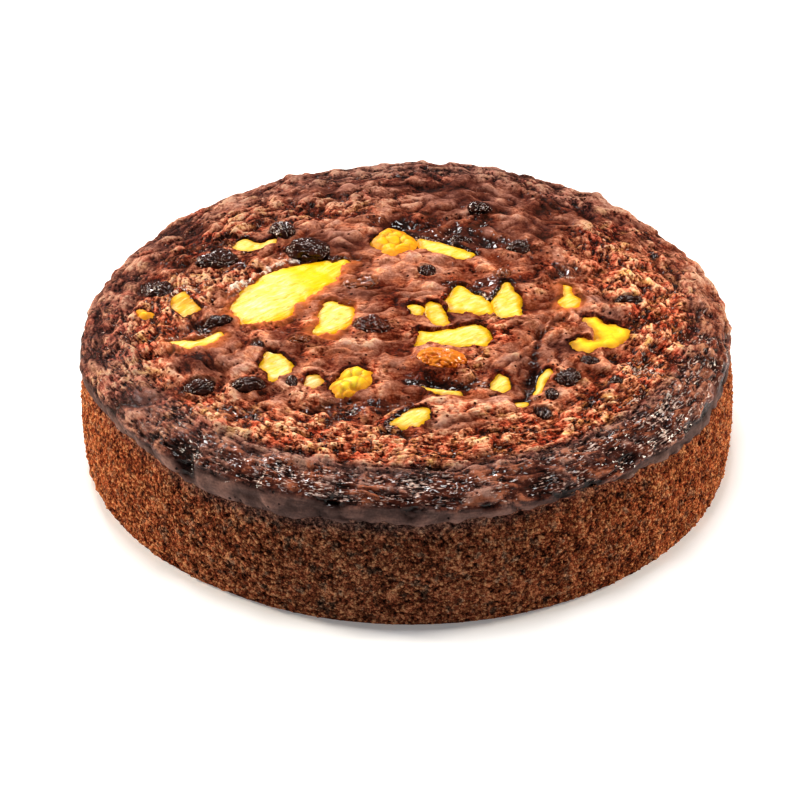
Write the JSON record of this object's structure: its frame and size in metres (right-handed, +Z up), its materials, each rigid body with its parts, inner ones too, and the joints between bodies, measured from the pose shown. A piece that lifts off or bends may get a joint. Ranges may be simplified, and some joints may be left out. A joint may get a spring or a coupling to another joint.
{
  "type": "rum cake",
  "caption": "Round dark single-layer cake with a browned, cracked crust and raisins, pineapple and walnut pieces set in its top.",
  "frame": {"origin": "middle of the flat underside, at the surface that the cake stands on", "axes": "+Z up along the cake's round axis; -Y to the front of the picture and +X to its right"},
  "size_m": [0.2436, 0.2435, 0.0619],
  "materials": {
    "crumb_and_crust": "dark brown open crumb below a darker, partly sticky and glossy browned crust",
    "pineapple": "moist bright yellow fruit, pale in the middle of the larger slices",
    "walnut": "golden nut kernel with a slight oily sheen",
    "raisin": "near-black wrinkled skin with a glaze",
    "golden_raisin": "amber wrinkled skin with a glaze"
  },
  "bodies": {
    "root": {"cake": "crumb_and_crust", "golden_raisin_1": "golden_raisin", "pineapple_01": "pineapple", "pineapple_02": "pineapple", "pineapple_03": "pineapple", "pineapple_04": "pineapple", "pineapple_05": "pineapple", "pineapple_06": "pineapple", "pineapple_07": "pineapple", "pineapple_08": "pineapple", "pineapple_09": "pineapple", "pineapple_10": "pineapple", "pineapple_11": "pineapple", "pineapple_12": "pineapple", "pineapple_13": "pineapple", "pineapple_14": "pineapple", "pineapple_15": "pineapple", "pineapple_16": "pineapple", "pineapple_17": "pineapple", "pineapple_18": "pineapple", "pineapple_19": "pineapple", "raisin_01": "raisin", "raisin_02": "raisin", "raisin_03": "raisin", "raisin_04": "raisin", "raisin_05": "raisin", "raisin_06": "raisin", "raisin_07": "raisin", "raisin_08": "raisin", "raisin_09": "raisin", "raisin_10": "raisin", "raisin_11": "raisin", "raisin_12": "raisin", "raisin_13": "raisin", "raisin_14": "raisin", "raisin_15": "raisin", "raisin_16": "raisin", "raisin_17": "raisin", "raisin_18": "raisin", "raisin_19": "raisin", "raisin_20": "raisin", "raisin_21": "raisin", "raisin_22": "raisin", "raisin_23": "raisin", "walnut_1": "walnut", "walnut_2": "walnut", "walnut_3": "walnut", "walnut_4": "walnut"}
  },
  "joints": []
}
